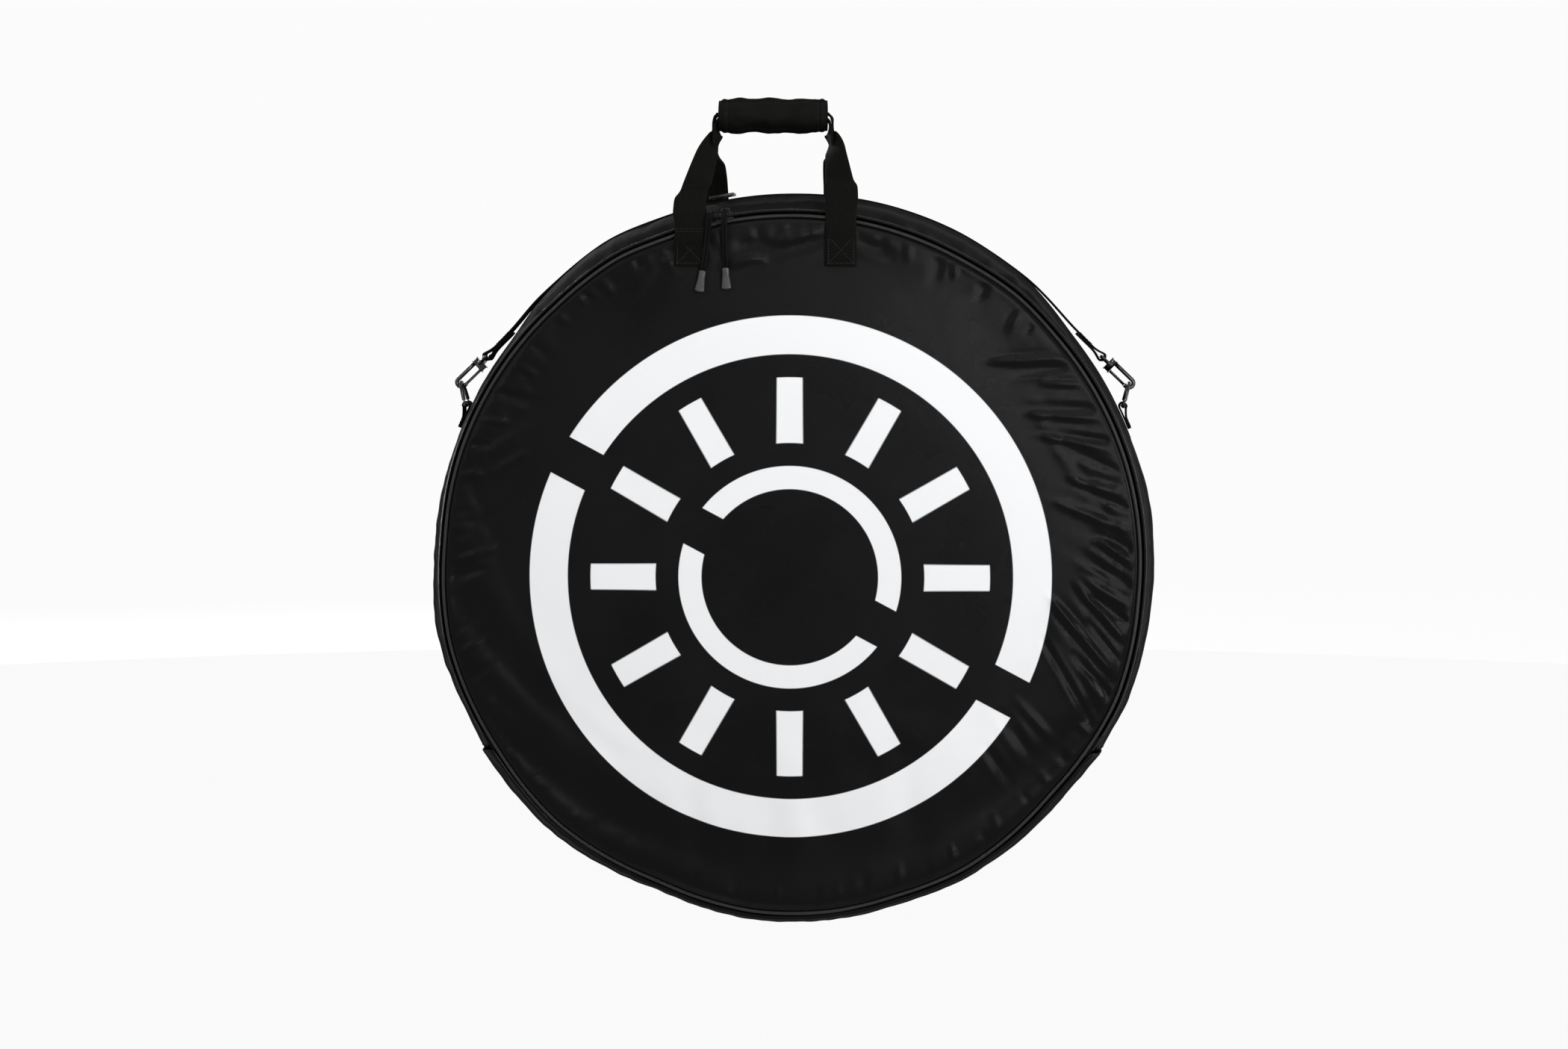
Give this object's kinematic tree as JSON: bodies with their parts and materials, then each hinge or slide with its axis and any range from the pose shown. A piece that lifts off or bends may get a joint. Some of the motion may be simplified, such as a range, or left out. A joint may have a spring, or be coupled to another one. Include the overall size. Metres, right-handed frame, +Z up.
{
  "type": "bike wheel bag",
  "caption": "Round padded bag for bicycle wheels with a zipped front panel, webbing carry handles in a grip wrap and a clip-on shoulder strap",
  "frame": {"origin": "middle of the flat on which the bag stands, at the bottom of its rim", "axes": "+Z up through the carry handles, front panel facing -Y, +X to the right seen from the front"},
  "size_m": [0.76, 0.1714, 0.866],
  "materials": {
    "nylon_fabric": "satin black coated nylon",
    "grip_fabric": "black padded nylon",
    "padding_foam": "grey closed-cell foam",
    "divider_pad": "quilted dark grey padding",
    "lining_fabric": "dark grey woven lining",
    "piping": "black fabric piping with a slight shine",
    "zip_tape": "matte black woven tape",
    "zip_teeth": "black moulded coil",
    "webbing": "matte black woven webbing",
    "dark_metal": "black plated",
    "pull_cord": "black braided cord",
    "grey_tip": "mid grey moulded plastic",
    "black_plastic": "black moulded plastic"
  },
  "bodies": {
    "root": {"back_panel_foam": "padding_foam", "back_panel_lining": "lining_fabric", "back_panel_shell": "nylon_fabric", "front_lower_foam": "padding_foam", "front_lower_lining": "lining_fabric", "front_lower_shell": "nylon_fabric", "grip_wrap_base": "grip_fabric", "gusset_foam": "padding_foam", "gusset_lining": "lining_fabric", "gusset_lower_band": "nylon_fabric", "gusset_upper_band": "nylon_fabric", "handle_back": "webbing", "hub_protector_back": "black_plastic", "piping_back": "piping", "piping_front_lower": "piping", "ring_tab_left": "webbing", "ring_tab_right": "webbing", "seam_binding_back": "zip_tape", "seam_binding_lower": "zip_tape", "shoulder_strap": "webbing", "strap_adjuster": "black_plastic", "zip_end_left": "zip_tape", "zip_end_right": "zip_tape", "zip_tape_body": "zip_tape", "zip_teeth_body": "zip_teeth"},
    "flap": {"front_flap_shell": "nylon_fabric", "front_flap_foam": "padding_foam", "front_flap_lining": "lining_fabric", "piping_front_flap": "piping", "seam_binding_flap": "zip_tape", "zip_tape_flap": "zip_tape", "zip_teeth_flap": "zip_teeth", "handle_front": "webbing", "hub_protector_front": "black_plastic"},
    "slider_left": {"zip_slider_left": "dark_metal"},
    "slider_right": {"zip_slider_right": "dark_metal"},
    "pull_left": {"pull_cord_left": "pull_cord", "pull_tip_left": "grey_tip"},
    "pull_right": {"pull_cord_right": "pull_cord", "pull_tip_right": "grey_tip"},
    "wrap_front": {"grip_wrap_front": "grip_fabric"},
    "divider": {"wheel_divider": "divider_pad"},
    "ring_left": {"d_ring_left": "dark_metal"},
    "ring_right": {"d_ring_right": "dark_metal"},
    "hook_left": {"snap_hook_left": "dark_metal"},
    "hook_right": {"snap_hook_right": "dark_metal"},
    "gate_left": {"hook_gate_left": "dark_metal"},
    "gate_right": {"hook_gate_right": "dark_metal"}
  },
  "joints": [
    {"name": "front_opening", "type": "hinge", "parent": "root", "child": "flap", "pos_m": [0, -0.085, 0.19996], "axis": [1, 0, 0], "range_deg": [0, 98]},
    {"name": "left_zip_run", "type": "hinge", "parent": "root", "child": "slider_left", "pos_m": [0, 0, 0.3775], "axis": [0, -1, 0], "range_deg": [0, 107.6], "deforming": ["pull_cord_left", "pull_tip_left"]},
    {"name": "right_zip_run", "type": "hinge", "parent": "root", "child": "slider_right", "pos_m": [0, 0, 0.3775], "axis": [0, 1, 0], "range_deg": [0, 130.8], "deforming": ["pull_cord_right", "pull_tip_right"]},
    {"name": "left_pull_swing", "type": "hinge", "parent": "slider_left", "child": "pull_left", "pos_m": [-0.08298, -0.0579, 0.74413], "axis": [-1, 0, 0], "range_deg": [0, 100]},
    {"name": "right_pull_swing", "type": "hinge", "parent": "slider_right", "child": "pull_right", "pos_m": [-0.06816, -0.0579, 0.74717], "axis": [-1, 0, 0], "range_deg": [0, 100]},
    {"name": "grip_wrap_peel", "type": "hinge", "parent": "root", "child": "wrap_front", "pos_m": [-0.0215, -0.00992, 0.86395], "axis": [-1, 0, 0], "range_deg": [0, 115]},
    {"name": "divider_lean", "type": "hinge", "parent": "root", "child": "divider", "pos_m": [0, 0, 0.0106], "axis": [1, 0, 0], "range_deg": [-4, 4]},
    {"name": "left_ring_swing", "type": "hinge", "parent": "root", "child": "ring_left", "pos_m": [-0.34741, 0, 0.5432], "axis": [0, -1, 0], "range_deg": [-2, 6], "deforming": ["shoulder_strap"]},
    {"name": "left_hook_swing", "type": "hinge", "parent": "ring_left", "child": "hook_left", "pos_m": [-0.35367, 0, 0.56741], "axis": [0, -1, 0], "range_deg": [-2, 6], "deforming": ["shoulder_strap"]},
    {"name": "left_gate_press", "type": "hinge", "parent": "hook_left", "child": "gate_left", "pos_m": [-0.33344, 0, 0.58029], "axis": [0, 1, 0], "range_deg": [0, 14], "stiffness_Nm_per_rad": 0.01, "springref_deg": -28.65},
    {"name": "right_ring_swing", "type": "hinge", "parent": "root", "child": "ring_right", "pos_m": [0.34741, 0, 0.5432], "axis": [0, 1, 0], "range_deg": [-2, 6], "deforming": ["shoulder_strap"]},
    {"name": "right_hook_swing", "type": "hinge", "parent": "ring_right", "child": "hook_right", "pos_m": [0.35367, 0, 0.56741], "axis": [0, 1, 0], "range_deg": [-2, 6], "deforming": ["shoulder_strap"]},
    {"name": "right_gate_press", "type": "hinge", "parent": "hook_right", "child": "gate_right", "pos_m": [0.33344, 0, 0.58029], "axis": [0, -1, 0], "range_deg": [0, 14], "stiffness_Nm_per_rad": 0.01, "springref_deg": -28.65}
  ]
}
